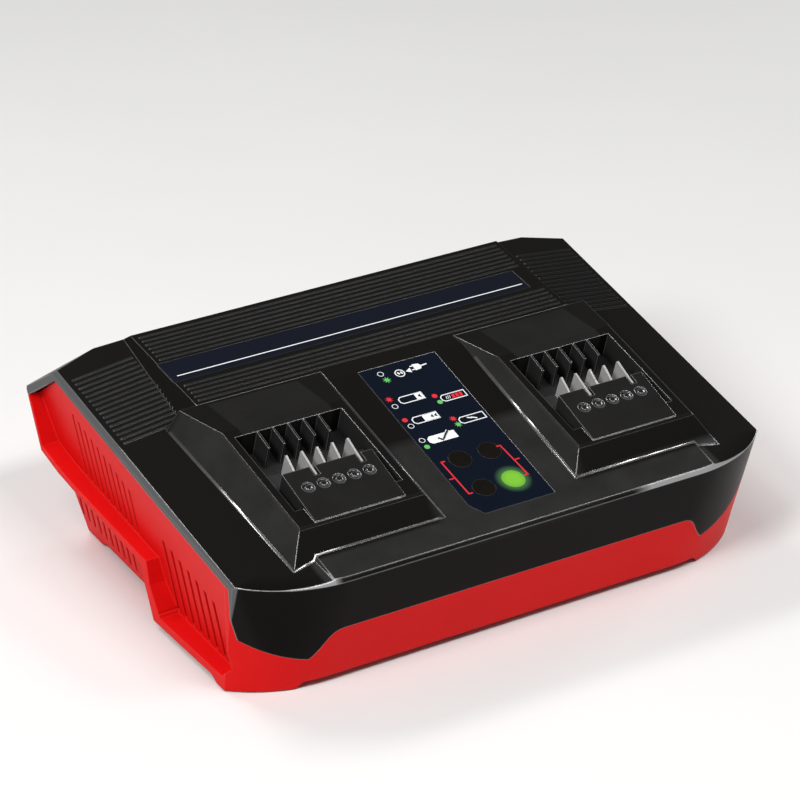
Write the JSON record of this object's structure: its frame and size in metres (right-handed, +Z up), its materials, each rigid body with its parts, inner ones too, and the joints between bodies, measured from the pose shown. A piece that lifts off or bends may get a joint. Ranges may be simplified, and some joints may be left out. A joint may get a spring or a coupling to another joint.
{
  "type": "power tool battery charger",
  "caption": "Low twin-bay bench charger for sliding tool batteries: wedge housing with side grilles, display strip, contact pockets and an internal fan.",
  "frame": {"origin": "middle of the housing's footprint, on the surface the rubber pads stand on", "axes": "+X to the user's right along the front, +Y from the front edge to the rear, +Z up"},
  "size_m": [0.28, 0.2056, 0.0987],
  "materials": {
    "cover": "black moulded plastic, finely textured",
    "tray": "red moulded plastic, satin",
    "display_plate": "printed film over plastic, glossy navy",
    "name_plate": "satin black strip, left bare",
    "lamp_dark": "smoked clear plastic",
    "lamp_lit": "clear green plastic, lit",
    "circuit_board": "green lacquered board",
    "steel": "zinc plated",
    "contact": "tinned copper alloy",
    "carrier": "black glass-filled plastic",
    "rubber": "matt",
    "gland": "matt black rubber",
    "ferrite": "matt dark ferrite",
    "winding": "yellow winding tape",
    "capacitor": "sleeved aluminium can",
    "heat_sink": "plain extruded aluminium",
    "component_case": "black moulded case",
    "terminal": "green terminal block",
    "fan_plastic": "black plastic"
  },
  "bodies": {
    "housing": {"top_cover": "cover", "bay_left": "cover", "bay_right": "cover", "base_tray": "tray", "display_plate": "display_plate", "name_plate": "name_plate", "lamp_windows": "lamp_dark", "lamp_window_lit": "lamp_lit", "display_board": "circuit_board", "display_screws": "steel", "contact_blades_left": "contact", "contact_blades_right": "contact", "contact_carrier_left": "carrier", "contact_carrier_right": "carrier", "rubber_pads": "rubber", "housing_screws": "steel", "cord_gland": "gland", "main_board": "circuit_board", "board_screws": "steel", "transformer_core": "ferrite", "transformer_winding": "winding", "bulk_capacitors": "capacitor", "output_capacitors": "capacitor", "line_choke": "ferrite", "heat_sinks": "heat_sink", "power_transistors": "component_case", "relays": "component_case", "mains_fuse": "component_case", "mains_terminal": "terminal", "fan_frame": "fan_plastic"},
    "fan": {"fan_rotor": "fan_plastic"}
  },
  "joints": [
    {"name": "fan_spin", "type": "hinge", "parent": "housing", "child": "fan", "pos_m": [-0.116, -0.038, 0.02655], "axis": [1, 0, 0], "continuous": true}
  ]
}
